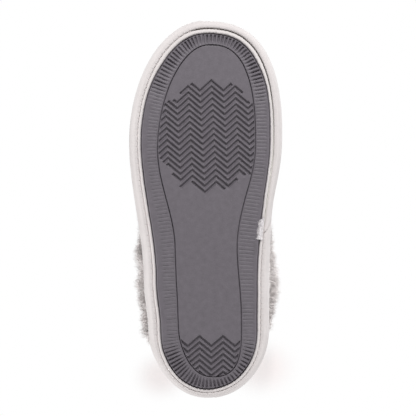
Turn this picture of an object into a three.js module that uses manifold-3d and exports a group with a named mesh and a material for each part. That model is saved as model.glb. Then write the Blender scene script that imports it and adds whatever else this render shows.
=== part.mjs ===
// A fluffy house slipper for the right foot, in millimetres.
// +Z is up and the ground is z = 0. The toe points along -Y, and +X is the inner (medial) side of the foot.
// A moulded tread is cemented under a boxed foam platform. The platform's fabric bottom and padded side band
// are sewn together round the edge. The upper is a vamp and two quarters, each with an interlining and a
// plush lining, and a faux-fur cuff is folded over the opening's edge.

import * as THREE from "three";
import { mergeVertices } from "three/addons/utils/BufferGeometryUtils.js";
import Module from "manifold-3d";

const wasm = await Module();
wasm.setup();

// ---------- Driving dimensions ----------

// Clearance between pieces that lie against each other.
const GAP = 0.3;

// The ends of the tread. What lies at an end is placed from it.
const TOE_END = -127;
const HEEL_END = 127;

// Tread outline: reach of each end, the three stations where the sides run straight, half widths there, and how
// square each side's toe and heel are (2 is an ellipse).
const SOLE = {
  front: TOE_END,
  ballAt: TOE_END + 77,
  waistAt: 50,
  heelAt: HEEL_END - 41,
  back: HEEL_END,
  medial: { ball: 45.1, waist: 35.8, heel: 35.6, toePower: 2.8, heelPower: 2.1 },
  lateral: { ball: 46.3, waist: 35.4, heel: 32.3, toePower: 1.9, heelPower: 2 },
  toeShift: -1.3,
  heelShift: 0.2,
};

// The plain field inside the tread's ribbed border, described the same way.
const FIELD = {
  front: TOE_END + 9,
  ballAt: TOE_END + 84,
  waistAt: 27,
  heelAt: HEEL_END - 51,
  back: HEEL_END - 8.6,
  medial: { ball: 34.8, waist: 21.7, heel: 24.6, toePower: 2.6, heelPower: 2.8 },
  lateral: { ball: 34.7, waist: 22.1, heel: 20.2, toePower: 1.9, heelPower: 2.2 },
  toeShift: 1.5,
  heelShift: 3.5,
};

const TREAD = { thick: 4.2, edgeBevel: 0.6, grooveWide: 1, grooveDeep: 1.2 };
// Each patch of zigzag channels: its oval, where one of its peaks lies, and the channels' pitch and shape.
const FORE_CHEVRONS = {
  centreX: 2,
  centreY: TOE_END + 74.5,
  reachX: 34.5,
  reachY: 41,
  peakX: 4.6,
  pitch: 4.25,
  wave: 16.8,
  rise: 6.8,
  wide: 2,
};
const HEEL_CHEVRONS = {
  centreX: 2.5,
  centreY: HEEL_END - 18.4,
  reachX: 52,
  reachY: 16.5,
  peakX: -4.9,
  pitch: 4.22,
  wave: 16.7,
  rise: 7,
  wide: 2,
};
const CHEVRON_DEEP = 1.5;

// Thicknesses from the ground up.
const COVER_THICK = 1;
const PLATFORM_THICK = 9.2;
const BOARD_THICK = 1.3;
const FOOTBED_THICK = 5.5;
const SOCK_THICK = 2.5;

// How far the platform and the padded band stand out past the tread.
const COVER_REACH = 3.1;
const UPPER_REACH = 5.7;
const BAND_BULGE = 8.8;
const BAND_HEIGHT = 19.5;

// Layers of the upper, from the outside in.
const OUTER_THICK = 1.3;
const INTERLINING_THICK = 1.5;
const LINING_THICK = 2.5;

// The opening's edge: an oval in plan, higher at the front and the back than at the sides.
const TOPLINE = { x: 0.9, y: 52, halfWide: 40, halfLong: 57, front: 82, side: 64, back: 74 };

// The cuff hangs down outside and tucks in inside; the pile stands up from its knitted backing.
const CUFF = { fall: 24, tuck: 8, backing: 1, pile: 10, innerPile: 4.5 };

const SEAM_ANGLE = THREE.MathUtils.degToRad(60);
const STAY_ANGLE = THREE.MathUtils.degToRad(8);
const COUNTER_ANGLE = THREE.MathUtils.degToRad(52);
const THREAD_THICK = 0.6;
const TUCK = { from: 5.4, to: 21.8, wide: COVER_REACH - 0.8 };

// How finely curves are cut into facets.
const RIM_STEPS = 64;
const UPPER_STEPS = 46;
const UPPER_ROWS = 7;

// ---------- Levels and reaches that follow from them ----------

const coverZ = TREAD.thick + GAP;
const platformZ = coverZ + COVER_THICK + GAP;
const boardZ = platformZ + PLATFORM_THICK + GAP;
const footbedZ = boardZ + BOARD_THICK + GAP;
const sockZ = footbedZ + FOOTBED_THICK + GAP;
const bandTopZ = coverZ + BAND_HEIGHT;
const wallTopZ = bandTopZ + GAP + THREAD_THICK;
const upperThick = OUTER_THICK + INTERLINING_THICK + LINING_THICK + 2 * GAP;
const footbedReach = UPPER_REACH - upperThick - 5 * GAP;
const bandInner = UPPER_REACH + 2 * GAP;
const seatChamfer = bandInner - COVER_REACH - GAP;

// ---------- Materials ----------

const finish = (color, roughness, metalness = 0) => new THREE.MeshStandardMaterial({ color, roughness, metalness });
const RUBBER = finish(0x6e696f, 0.75);
const SUEDE = finish(0xe0d9d8, 0.95);
const FUR = finish(0xcfc6c4, 1);
const PLUSH = finish(0xe9e2df, 1);
const KNIT = finish(0xd9d3d0, 0.95);
const FOAM = finish(0xf1efeb, 0.9);
const BOARD = finish(0xa98f70, 0.85);
const STIFFENER = finish(0xd8cdb8, 0.8);
const THREAD = finish(0xc9c0be, 0.7);

// ---------- Meshes from points ----------

const slipper = new THREE.Group();

function add(name, geometry, material) {
  const mesh = new THREE.Mesh(geometry, material);
  mesh.name = name;
  slipper.add(mesh);
}

// A geometry from points and triangles, turned round if its faces would point inwards.
function closedGeometry(points, faces) {
  const volume = faces.reduce((sum, [a, b, c]) => sum + points[a].dot(points[b].clone().cross(points[c])), 0);
  const index = faces.flatMap(([a, b, c]) => (volume < 0 ? [a, c, b] : [a, b, c]));
  const geometry = new THREE.BufferGeometry().setFromPoints(points);
  geometry.setIndex(index);
  geometry.computeVertexNormals();
  return geometry;
}

// The two triangles between four corners of a grid.
const quad = (a, b, c, d) => [
  [a, b, c],
  [a, c, d],
];

// A skin between equal rows of points. Rows that aren't rings are closed by the caller.
function skin(rows, wrapRows, wrapColumns) {
  const wide = rows[0].length;
  const faces = [];
  for (let j = 0; j < rows.length - (wrapRows ? 0 : 1); j++) {
    for (let i = 0; i < wide - (wrapColumns ? 0 : 1); i++) {
      const next = ((j + 1) % rows.length) * wide;
      const right = (i + 1) % wide;
      faces.push(...quad(j * wide + i, j * wide + right, next + right, next + i));
    }
  }
  return faces;
}

// ---------- Outlines ----------

const CAP_STEPS = 30;
const SIDE_STEPS = 24;
const ease = (t) => t * t * (3 - 2 * t);
const mix = THREE.MathUtils.lerp;

// One side of a foot-shaped outline, from the toe to the heel. Each end is a superellipse that leans to one side.
function outlineSide(d, sign, half) {
  const points = [];
  const capPoint = (angle, power, width, from, to, shift) => {
    const along = Math.sin(angle) ** (2 / power);
    const across = Math.cos(angle) ** (2 / power);
    return new THREE.Vector3(sign * width * across + shift * along * along, mix(from, to, along), 0);
  };
  const quarter = Math.PI / 2;
  for (let k = 0; k < CAP_STEPS; k++)
    points.push(capPoint(quarter * (1 - k / CAP_STEPS), half.toePower, half.ball, d.ballAt, d.front, d.toeShift));
  const stretches = [
    [d.ballAt, d.waistAt, half.ball, half.waist],
    [d.waistAt, d.heelAt, half.waist, half.heel],
  ];
  for (const [y0, y1, w0, w1] of stretches)
    for (let k = 0; k < SIDE_STEPS; k++)
      points.push(new THREE.Vector3(sign * mix(w0, w1, ease(k / SIDE_STEPS)), mix(y0, y1, k / SIDE_STEPS), 0));
  for (let k = 0; k < CAP_STEPS; k++)
    points.push(capPoint((quarter * k) / CAP_STEPS, half.heelPower, half.heel, d.heelAt, d.back, d.heelShift));
  return points;
}

// The closed outline, starting at the toe and running round by the medial side.
function footCurve(d) {
  const medial = outlineSide(d, 1, d.medial);
  const lateral = outlineSide(d, -1, d.lateral);
  const heelTip = new THREE.Vector3(d.heelShift, d.back, 0);
  const curve = new THREE.CatmullRomCurve3([...medial, heelTip, ...lateral.slice(1).reverse()], true);
  curve.arcLengthDivisions = 1200;
  return curve;
}

const soleCurve = footCurve(SOLE);
const fieldCurve = footCurve(FIELD);

// The way out of the curve, level with the ground, at a share of its length.
function outwards(curve, share) {
  const t = curve.getTangentAt(share);
  return new THREE.Vector3(t.y, -t.x, 0).normalize();
}

const wrapShare = (share) => ((share % 1) + 1) % 1;

function rimPoint(curve, share, reach, z) {
  const at = wrapShare(share);
  const p = curve.getPointAt(at).addScaledVector(outwards(curve, at), reach);
  return p.setZ(z);
}

function rim(curve, reach, z, steps = RIM_STEPS) {
  return Array.from({ length: steps }, (_, i) => rimPoint(curve, i / steps, reach, z));
}

// A slab whose edge follows the curve, through a list of [reach, z] from the bottom up.
function slab(curve, edge) {
  const rows = edge.map(([reach, z]) => rim(curve, reach, z));
  const faces = skin(rows, false, true);
  const lid = (row) => THREE.ShapeUtils.triangulateShape(row.map((p) => new THREE.Vector2(p.x, p.y)), []);
  const top = (rows.length - 1) * RIM_STEPS;
  faces.push(...lid(rows[0]).map(([a, b, c]) => [a, c, b]));
  faces.push(...lid(rows.at(-1)).map(([a, b, c]) => [top + a, top + b, top + c]));
  return closedGeometry(rows.flat(), faces);
}

// A ring whose cross-section is a closed list of [reach, z].
function ring(curve, section, steps = RIM_STEPS) {
  const rows = section.map(([reach, z]) => rim(curve, reach, z, steps));
  return closedGeometry(rows.flat(), skin(rows, true, true));
}

// ---------- Solids cut with manifold-3d ----------

function toSolid(geometry) {
  const bare = geometry.index ? geometry.toNonIndexed() : geometry.clone();
  bare.deleteAttribute("normal");
  bare.deleteAttribute("uv");
  const merged = mergeVertices(bare, 1e-4);
  return new wasm.Manifold(
    new wasm.Mesh({
      numProp: 3,
      vertProperties: new Float32Array(merged.attributes.position.array),
      triVerts: new Uint32Array(merged.index.array),
    }),
  );
}

function fromSolid(solid) {
  const mesh = solid.getMesh();
  const geometry = new THREE.BufferGeometry();
  geometry.setAttribute("position", new THREE.BufferAttribute(mesh.vertProperties, 3));
  geometry.setIndex(new THREE.BufferAttribute(mesh.triVerts, 1));
  geometry.computeVertexNormals();
  return geometry;
}

// ---------- The sole ----------

// Zigzag channels side by side, each as deep as the tread's relief, held inside an oval.
function chevronCutters(c) {
  const halfWave = c.wave / 2;
  const across = Math.ceil((c.reachX + Math.abs(c.peakX - c.centreX)) / halfWave) + 1;
  const rows = Math.floor((2 * c.reachY) / c.pitch);
  let cutters = null;
  for (let row = 0; row <= rows; row++) {
    const y = c.centreY + (row - rows / 2) * c.pitch;
    const edge = [];
    for (let k = -across; k <= across; k++)
      edge.push(new THREE.Vector2(c.peakX + k * halfWave, y + (k % 2 ? c.rise / 2 : -c.rise / 2)));
    const back = edge.map((p) => new THREE.Vector2(p.x, p.y + c.wide)).reverse();
    const channel = new THREE.ExtrudeGeometry(new THREE.Shape([...edge, ...back]), {
      depth: 2 * CHEVRON_DEEP,
      bevelEnabled: false,
    }).translate(0, 0, -CHEVRON_DEEP);
    const solid = toSolid(channel);
    cutters = cutters ? cutters.add(solid) : solid;
  }
  const oval = new THREE.Shape().absellipse(c.centreX, c.centreY, c.reachX, c.reachY, 0, 2 * Math.PI);
  const patch = new THREE.ExtrudeGeometry(oval, { depth: 4 * CHEVRON_DEEP, bevelEnabled: false, curveSegments: 20 });
  return cutters.intersect(toSolid(patch.translate(0, 0, -2 * CHEVRON_DEEP)));
}

function buildOutsole() {
  const body = toSolid(
    slab(soleCurve, [
      [-TREAD.edgeBevel, 0],
      [0, TREAD.edgeBevel],
      [0, TREAD.thick],
    ]),
  );
  const border = ring(fieldCurve, [
    [0, -1],
    [TREAD.grooveWide, -1],
    [TREAD.grooveWide, TREAD.grooveDeep],
    [0, TREAD.grooveDeep],
  ]);
  const field = toSolid(
    slab(fieldCurve, [
      [-TREAD.grooveWide, -1],
      [-TREAD.grooveWide, TREAD.thick],
    ]),
  );
  const chevrons = chevronCutters(FORE_CHEVRONS).add(chevronCutters(HEEL_CHEVRONS)).intersect(field);
  const cut = body.subtract(toSolid(border)).subtract(chevrons);
  add("outsole", fromSolid(cut.simplify(0.01)), RUBBER);
}

function buildPlatform() {
  add(
    "bottom_cover",
    slab(soleCurve, [
      [COVER_REACH, coverZ],
      [COVER_REACH, coverZ + COVER_THICK],
    ]),
    SUEDE,
  );
  add(
    "midsole_foam",
    slab(soleCurve, [
      [COVER_REACH - GAP, platformZ],
      [UPPER_REACH, platformZ + seatChamfer],
      [UPPER_REACH, platformZ + PLATFORM_THICK],
    ]),
    FOAM,
  );
  add(
    "insole_board",
    slab(soleCurve, [
      [footbedReach, boardZ],
      [footbedReach, boardZ + BOARD_THICK],
    ]),
    BOARD,
  );
  add(
    "footbed_foam",
    slab(soleCurve, [
      [footbedReach, footbedZ],
      [footbedReach, footbedZ + FOOTBED_THICK],
    ]),
    FOAM,
  );
  add(
    "sock_lining",
    slab(soleCurve, [
      [footbedReach, sockZ],
      [footbedReach, sockZ + SOCK_THICK * 0.75],
      [footbedReach - SOCK_THICK / 2, sockZ + SOCK_THICK],
    ]),
    PLUSH,
  );
}

// The padded band stands round the platform, bulges past it and turns in underneath to meet the cover.
function buildBand() {
  const inner = COVER_REACH + GAP;
  const swell = BAND_BULGE - bandInner;
  const section = [
    [inner, coverZ],
    [bandInner, coverZ + 0.4],
    [bandInner + 0.8 * swell, coverZ + 0.13 * BAND_HEIGHT],
    [BAND_BULGE, coverZ + 0.32 * BAND_HEIGHT],
    [BAND_BULGE, coverZ + 0.55 * BAND_HEIGHT],
    [bandInner + 0.75 * swell, coverZ + 0.8 * BAND_HEIGHT],
    [bandInner + 0.35 * swell, coverZ + 0.96 * BAND_HEIGHT],
    [bandInner, bandTopZ],
    [bandInner, platformZ + seatChamfer],
    [inner, coverZ + COVER_THICK],
  ];
  add("sidewall_band", ring(soleCurve, section), SUEDE);
}

// The loose end of the band, folded in under the cover where the band's two ends meet.
function buildBandTuck() {
  const steps = 8;
  const shareAt = (y) => {
    const dense = 2000;
    for (let k = 1; k < dense / 2; k++) if (soleCurve.getPointAt(k / dense).y > y) return k / dense;
    return 0.5;
  };
  const [s0, s1] = [shareAt(TUCK.from), shareAt(TUCK.to)];
  const top = TREAD.thick;
  const section = [
    [GAP, top - 2],
    [TUCK.wide, top - 1.4],
    [TUCK.wide, top],
    [GAP, top],
  ];
  const rows = Array.from({ length: steps + 1 }, (_, i) =>
    section.map(([reach, z]) => rimPoint(soleCurve, mix(s0, s1, i / steps), reach, z)),
  );
  const last = steps * section.length;
  const faces = [...skin(rows, false, true), ...quad(0, 3, 2, 1), ...quad(last, last + 1, last + 2, last + 3)];
  add("band_end_tuck", closedGeometry(rows.flat(), faces), PLUSH);
}

function squareThread(curve, reach, z) {
  const half = THREAD_THICK / 2;
  return ring(curve, [
    [reach - half, z],
    [reach + half, z],
    [reach + half, z + THREAD_THICK],
    [reach - half, z + THREAD_THICK],
  ]);
}

function buildSoleThreads() {
  const seamReach = COVER_REACH + GAP / 2;
  add("bottom_seam_thread", squareThread(soleCurve, seamReach, coverZ - GAP - THREAD_THICK), THREAD);
  const topReach = bandInner + THREAD_THICK / 2 + GAP / 2;
  add("top_seam_thread", squareThread(soleCurve, topReach, bandTopZ + GAP), THREAD);
}

// ---------- The upper's surface ----------

// The share of the sole's outline that lies under an angle round the opening. The toe gets more than its part.
const TOE_SPREAD = 0.12;
const soleShare = (angle) => angle / (2 * Math.PI) + TOE_SPREAD * Math.sin(angle);

function toplinePoint(angle) {
  const t = TOPLINE;
  const middle = (t.front + t.back) / 4 + t.side / 2;
  const lean = (t.front - t.back) / 2;
  const saddle = (t.front + t.back) / 4 - t.side / 2;
  return new THREE.Vector3(
    t.x + t.halfWide * Math.sin(angle),
    t.y - t.halfLong * Math.cos(angle),
    middle + lean * Math.cos(angle) + saddle * Math.cos(2 * angle),
  );
}

// Share of each line up the upper that stands straight inside the band.
const WALL_SHARE = 0.1;

// A point of the upper's outer face: up inside the band, then along a Bezier curve to the opening's edge.
function upperPoint(angle, v) {
  const share = wrapShare(soleShare(angle));
  const out = outwards(soleCurve, share);
  const foot = soleCurve.getPointAt(share).addScaledVector(out, UPPER_REACH).setZ(wallTopZ);
  if (v <= WALL_SHARE) return foot.setZ(mix(boardZ, wallTopZ, v / WALL_SHARE));
  const top = toplinePoint(angle);
  const toe = Math.max(0, Math.cos(angle)) ** 2;
  const height = top.z - foot.z;
  const first = foot.clone().addScaledVector(out, 0.07 * height).setZ(foot.z + height * (0.34 + 0.14 * toe));
  const second = new THREE.Vector3()
    .lerpVectors(top, foot, 0.42)
    .addScaledVector(out, 0.1 * height * (1 - toe))
    .setZ(top.z - height * (0.34 - 0.1 * toe));
  const w = (v - WALL_SHARE) / (1 - WALL_SHARE);
  return new THREE.CubicBezierCurve3(foot, first, second, top).getPoint(w);
}

// The outer face's point, its outward normal and its upward direction.
function upperFrame(angle, v) {
  const step = 1e-3;
  const around = upperPoint(angle + step, v).sub(upperPoint(angle - step, v));
  const up = upperPoint(angle, v + step).sub(upperPoint(angle, v - step)).normalize();
  return { point: upperPoint(angle, v), normal: around.cross(up).normalize(), up };
}

const underFace = (angle, v, depth) => {
  const f = upperFrame(angle, v);
  return f.point.addScaledVector(f.normal, -depth);
};

// Angles of the upper's columns: spaced evenly between the sole's outline and the opening's edge.
function columnAngle(share) {
  let [low, high] = [0, 2 * Math.PI];
  for (let k = 0; k < 40; k++) {
    const angle = (low + high) / 2;
    const reached = (angle / (2 * Math.PI) + soleShare(angle)) / 2;
    if (reached < share) low = angle;
    else high = angle;
  }
  return low;
}

// Every layer shares these columns, so that layers that lie on each other have the same facets.
const NEAR = 0.02;
const heelEdges = [-COUNTER_ANGLE, -STAY_ANGLE, 0, STAY_ANGLE, COUNTER_ANGLE].map((a) => Math.PI + a);
const pieceEdges = [SEAM_ANGLE, ...heelEdges, 2 * Math.PI - SEAM_ANGLE];
const columns = Array.from({ length: UPPER_STEPS }, (_, i) => columnAngle(i / UPPER_STEPS))
  .filter((a) => pieceEdges.every((edge) => Math.abs(a - edge) > NEAR))
  .concat(pieceEdges)
  .sort((a, b) => a - b);

// The columns between two angles, with the two angles themselves as the ends.
function columnsBetween(from, to) {
  const turns = columns.flatMap((a) => [a - 2 * Math.PI, a]).sort((a, b) => a - b);
  return [from, ...turns.filter((a) => a > from + NEAR && a < to - NEAR), to];
}

const rowShares = [0, ...Array.from({ length: UPPER_ROWS }, (_, j) => mix(WALL_SHARE, 1, j / (UPPER_ROWS - 1)))];
const rowsBetween = (from, to) => [from, ...rowShares.filter((v) => v > from + NEAR && v < to - NEAR), to];

// A closed layer of the upper between two depths under its outer face.
function layer(angles, shares, outer, inner) {
  const wide = angles.length;
  const sheet = (depth) => shares.flatMap((v) => angles.map((a) => underFace(a, v, depth)));
  const points = [...sheet(outer), ...sheet(inner)];
  const under = wide * shares.length;
  const rows = shares.map((_, j) => angles.map((_, i) => j * wide + i));
  const front = skin(rows, false, false);
  const faces = [...front, ...front.map(([a, b, c]) => [under + a, under + c, under + b])];
  const edge = [
    ...rows[0],
    ...rows.slice(1).map((row) => row.at(-1)),
    ...rows.at(-1).slice(0, -1).reverse(),
    ...rows.slice(1, -1).map((row) => row[0]).reverse(),
  ];
  edge.forEach((a, k) => {
    const b = edge[(k + 1) % edge.length];
    faces.push(...quad(b, a, under + a, under + b));
  });
  return closedGeometry(points, faces);
}

// ---------- The upper ----------

const SEAM_HALF_GAP = 0.005;
const interliningDepth = OUTER_THICK + GAP;
const liningDepth = interliningDepth + INTERLINING_THICK + GAP;
const medialQuarter = [SEAM_ANGLE + SEAM_HALF_GAP, Math.PI - SEAM_HALF_GAP];
const lateralQuarter = [Math.PI + SEAM_HALF_GAP, 2 * Math.PI - SEAM_ANGLE - SEAM_HALF_GAP];

function buildVamp() {
  const angles = columnsBetween(-SEAM_ANGLE + SEAM_HALF_GAP, SEAM_ANGLE - SEAM_HALF_GAP);
  add("vamp", layer(angles, rowShares, 0, OUTER_THICK), SUEDE);
  add("vamp_foam", layer(angles, rowShares, interliningDepth, interliningDepth + INTERLINING_THICK), FOAM);
  add("vamp_lining", layer(angles, rowShares, liningDepth, liningDepth + LINING_THICK), PLUSH);
}

function buildQuarter(side, [from, to]) {
  const angles = columnsBetween(from, to);
  add(`quarter_${side}`, layer(angles, rowShares, 0, OUTER_THICK), SUEDE);
  add(`quarter_lining_${side}`, layer(angles, rowShares, liningDepth, liningDepth + LINING_THICK), PLUSH);
  const clear = COUNTER_ANGLE + 2 * SEAM_HALF_GAP;
  const padded = side === "medial" ? columnsBetween(from, Math.PI - clear) : columnsBetween(Math.PI + clear, to);
  add(
    `quarter_foam_${side}`,
    layer(padded, rowShares, interliningDepth, interliningDepth + INTERLINING_THICK),
    FOAM,
  );
}

// The stiffener is one piece round the heel, and the stay covers the seam between the quarters.
function buildHeel() {
  const counter = columnsBetween(Math.PI - COUNTER_ANGLE, Math.PI + COUNTER_ANGLE);
  add(
    "heel_counter",
    layer(counter, rowShares, interliningDepth, interliningDepth + INTERLINING_THICK),
    STIFFENER,
  );
  const stay = columnsBetween(Math.PI - STAY_ANGLE, Math.PI + STAY_ANGLE);
  const below = shareBelowEdge(Math.PI, CUFF.fall + 4 * GAP);
  add("heel_stay", layer(stay, rowsBetween(WALL_SHARE + 0.03, below), -GAP - 1, -GAP), SUEDE);
}

// The share up a line of the upper that lies a given distance below the opening's edge.
function shareBelowEdge(angle, distance) {
  const step = 0.01;
  let v = 1;
  let walked = 0;
  let last = upperPoint(angle, v);
  while (walked < distance && v > WALL_SHARE) {
    const next = upperPoint(angle, v - step);
    const piece = next.distanceTo(last);
    if (walked + piece >= distance) return v - (step * (distance - walked)) / piece;
    walked += piece;
    v -= step;
    last = next;
  }
  return v;
}

// ---------- The cuff ----------

// A point beside the opening's edge: out from the outer face, and up past the edge or down along the face.
function cuffPoint(angle, out, up) {
  const v = up < 0 ? shareBelowEdge(angle, -up) : 1;
  const f = upperFrame(angle, v);
  const p = f.point.addScaledVector(f.normal, out);
  return up > 0 ? p.addScaledVector(f.up, up) : p;
}

function cuffRing(section) {
  const rows = section.map(([out, up]) => columns.map((angle) => cuffPoint(angle, out, up)));
  return closedGeometry(rows.flat(), skin(rows, true, true));
}

// Evenly spaced points of a section up or down one face of the upper.
const run = (out, from, to, steps) => Array.from({ length: steps + 1 }, (_, k) => [out, mix(from, to, k / steps)]);

function buildCuff() {
  const room = 2 * GAP;
  const inside = -upperThick - room;
  const { fall, tuck, backing, pile, innerPile } = CUFF;
  const outerFace = room + backing;
  const innerFace = inside - backing;
  const backingSection = [
    ...run(outerFace, -fall, 0, 4),
    [outerFace, outerFace],
    [innerFace, outerFace],
    ...run(innerFace, 0, -tuck, 1),
    ...run(inside, -tuck, 0, 1),
    [inside, room],
    [room, room],
    ...run(room, 0, -fall, 4),
  ];
  add("cuff_backing", cuffRing(backingSection), KNIT);
  const root = outerFace + GAP;
  const innerRoot = innerFace - GAP;
  const outerTip = root + pile;
  const innerTip = innerRoot - innerPile;
  const furSection = [
    [root, -fall],
    [root + 0.45 * pile, -fall - 2],
    [root + 0.88 * pile, -0.85 * fall],
    [outerTip, -0.45 * fall],
    [root + 0.95 * pile, 0],
    [root + 0.65 * pile, 0.6 * pile],
    [0, 0.95 * pile],
    [innerRoot / 2, 0.98 * pile],
    [innerRoot - 0.65 * innerPile, 0.6 * pile],
    [innerTip, 0],
    [innerRoot - 0.8 * innerPile, -tuck],
    ...run(innerRoot, -tuck, 0, 1),
    [innerRoot, outerFace + GAP],
    [root, outerFace + GAP],
    ...run(root, 0, -0.75 * fall, 3),
  ];
  add("cuff_fur", cuffRing(furSection.reverse()), FUR);
}

buildOutsole();
buildPlatform();
buildBand();
buildBandTuck();
buildSoleThreads();
buildVamp();
buildQuarter("medial", medialQuarter);
buildQuarter("lateral", lateralQuarter);
buildHeel();
buildCuff();

// The frame's origin is the middle of the object's base.
const middle = new THREE.Box3().setFromObject(slipper).getCenter(new THREE.Vector3());
slipper.position.set(-middle.x, -middle.y, 0);

export default slipper;
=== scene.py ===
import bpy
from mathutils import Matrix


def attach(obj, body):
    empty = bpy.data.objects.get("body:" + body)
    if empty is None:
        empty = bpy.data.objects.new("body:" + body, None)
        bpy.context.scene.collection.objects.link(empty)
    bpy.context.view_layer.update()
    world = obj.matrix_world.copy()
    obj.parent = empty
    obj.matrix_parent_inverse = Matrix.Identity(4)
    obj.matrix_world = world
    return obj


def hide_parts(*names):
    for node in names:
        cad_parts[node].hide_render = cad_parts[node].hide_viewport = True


bl_info = {
    "name": "House slipper",
    "version": (1, 0, 0),
    "blender": (4, 5, 0),
    "location": "3D View > Sidebar > Slipper",
    "description": "Builds a fluffy house slipper round its packed frame",
    "category": "Add Mesh",
}

import bpy
import numpy as np
from bpy.props import FloatProperty, FloatVectorProperty, IntProperty, PointerProperty
from bpy.types import Operator, Panel, PropertyGroup
from mathutils import Matrix, Vector

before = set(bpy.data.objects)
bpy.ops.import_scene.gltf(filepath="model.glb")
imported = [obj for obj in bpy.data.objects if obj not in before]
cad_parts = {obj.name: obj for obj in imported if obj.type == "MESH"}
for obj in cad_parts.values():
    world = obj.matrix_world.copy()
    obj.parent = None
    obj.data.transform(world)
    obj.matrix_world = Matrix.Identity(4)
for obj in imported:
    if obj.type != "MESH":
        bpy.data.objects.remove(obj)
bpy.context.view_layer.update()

MM = 0.001
TURN = 2 * np.pi

# Levels and thicknesses of the frame, in millimetres.
COVER_REACH = 3.1
COVER_TOP = 5.4
UPPER_REACH = 5.7
UPPER_THICK = 5.9
BAND_TOP = 24.0
WALL_TOP = 24.9
BOARD_Z = 15.3
SOCK_BASE = 22.75
SOCK_TOP = 25.2
PILE_LOWEST = 26.5

# The upper's face: the share up it where its straight wall ends, and angles in radians from the
# instep: its two side seams, how far the quarters lap over the vamp there, half the heel stay and
# the stitches along it.
WALL_SHARE = 0.1
SEAM_ANGLE = np.radians(60)
SEAM_LAP = 0.075
STAY_ANGLE = 0.14
STAY_STITCHES = 0.115

# The tread stops short of the frame's edge round the toe, and the sole's inner side is a little
# more hollow than the frame's round one place.
TOE_INSET = 1.15
HOLLOW_DEPTH, HOLLOW_Y, HOLLOW_LENGTH = 1.1, -8, 28

# Where the band's two ends meet on the inner side, and how far the frayed scrap reaches from there.
JOINT_Y = 13.05
SCRAP_AHEAD, SCRAP_BEHIND = 8.6, 7.8

# How far a stitch arches out of the cloth, and how many points the band and the bottom's turned
# edge have round the sole.
STITCH_RISE = 0.35
SOLE_COLUMNS = 1800

# Rough lengths that ripples are laid out on: round the sole, along one radian of the upper and up
# the upper's face.
SOLE_ROUND = 620
UPPER_ROUND = 70
UPPER_RISE = 80


# ---------- Sizes and colours ----------


def millimetres(name, description, default, low=0.0, high=400.0):
    return FloatProperty(
        name=name, description=description, default=default, min=low, max=high, precision=2
    )


def colour(name, description, default):
    return FloatVectorProperty(
        name=name,
        description=description,
        default=default,
        size=3,
        subtype="COLOR",
        min=0.0,
        max=1.0,
    )


class TreadSizes(PropertyGroup):
    """Sizes of the moulded tread, in millimetres"""

    rib_pitch: millimetres("End rib pitch", "Rib to rib at the toe and the heel", 3.08, 0.5, 10)
    side_pitch: millimetres("Side rib pitch", "Rib to rib along the sides", 2.66, 0.5, 10)
    rib_depth: millimetres("Rib depth", "Depth between ribs at the toe and the heel", 2.1, 0, 3)
    side_depth: millimetres("Side rib depth", "Depth between the ribs along the sides", 0.5, 0, 3)
    groove: millimetres("Groove width", "Width of the groove round the field", 0.6, 0.1, 5)
    channel_depth: millimetres("Channel depth", "Depth of the zigzag channels", 1.6, 0, 3)
    channel_width: millimetres("Channel width", "Width of the zigzag channels", 2.0, 0.2, 8)
    channel_wave: millimetres("Zigzag length", "Distance between the zigzag's peaks", 16.8, 2, 60)
    front_pitch: millimetres("Front row pitch", "Row to row under the ball", 4.25, 1, 20)
    heel_pitch: millimetres("Heel row pitch", "Row to row under the heel", 4.22, 1, 20)


class BandSizes(PropertyGroup):
    """Sizes of the padded side band, in millimetres"""

    bulge: millimetres("Bulge", "How far the band stands out past the tread", 8.9, 1, 20)
    height: millimetres("Height", "Height of the band's upper edge", 24.0, 5, 60)
    stitch_pitch: millimetres("Stitch pitch", "Distance between the stitches", 4.1, 1, 12)
    stitch_thick: millimetres("Thread thickness", "Diameter of the sewing thread", 0.62, 0.2, 2)


class UpperSizes(PropertyGroup):
    """Sizes of the opening's edge, in millimetres"""

    edge_x: millimetres("Edge centre X", "Middle of the opening across the slipper", 0.97, -20, 20)
    edge_y: millimetres("Edge centre Y", "Middle of the opening along the sole", 52.17, -100, 100)
    half_wide: millimetres("Half width", "Half of the opening's width", 40.0, 10, 80)
    half_long: millimetres("Half length", "Half of the opening's length", 57.0, 10, 120)
    front: millimetres("Instep height", "Height of the edge over the instep", 82.0, 20, 160)
    side: millimetres("Side height", "Height of the edge at the sides", 64.0, 20, 160)
    back: millimetres("Heel height", "Height of the edge at the heel", 74.0, 20, 160)


class CuffSizes(PropertyGroup):
    """Sizes of the faux-fur cuff"""

    fall: millimetres("Fall", "How far the cuff hangs down outside", 24.0, 2, 60)
    tuck: millimetres("Tuck", "How far the cuff turns in", 8.0, 2, 60)
    pile: millimetres("Pile", "Length of the fur", 11.5, 2, 40)
    strands: IntProperty(
        name="Strands", description="Strands in each quarter of the cuff", default=8700, min=100
    )


class SlipperColours(PropertyGroup):
    """Colours of the slipper's finishes"""

    rubber: colour("Rubber", "Moulded tread", (0.135, 0.121, 0.138))
    suede: colour("Microsuede", "Upper, band and bottom", (0.65, 0.61, 0.604))
    fur: colour("Fur", "Long pile of the cuff", (0.97, 0.935, 0.925))
    plush: colour("Plush", "Linings", (0.8, 0.75, 0.725))
    thread: colour("Thread", "Stitching", (0.6, 0.54, 0.53))
    frayed: colour("Frayed end", "White cotton at the band's end", (0.72, 0.69, 0.705))


SETTINGS = {
    "slipper_tread": TreadSizes,
    "slipper_band": BandSizes,
    "slipper_upper": UpperSizes,
    "slipper_cuff": CuffSizes,
    "slipper_colours": SlipperColours,
}


# ---------- Small numeric helpers ----------


def unit(v):
    """Vectors of length one."""
    return v / np.maximum(np.linalg.norm(v, axis=-1, keepdims=True), 1e-9)


def smooth(low, high, x):
    """0 below low, 1 above high and a smooth step between."""
    t = np.clip((x - low) / (high - low), 0, 1)
    return t * t * (3 - 2 * t)


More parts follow.
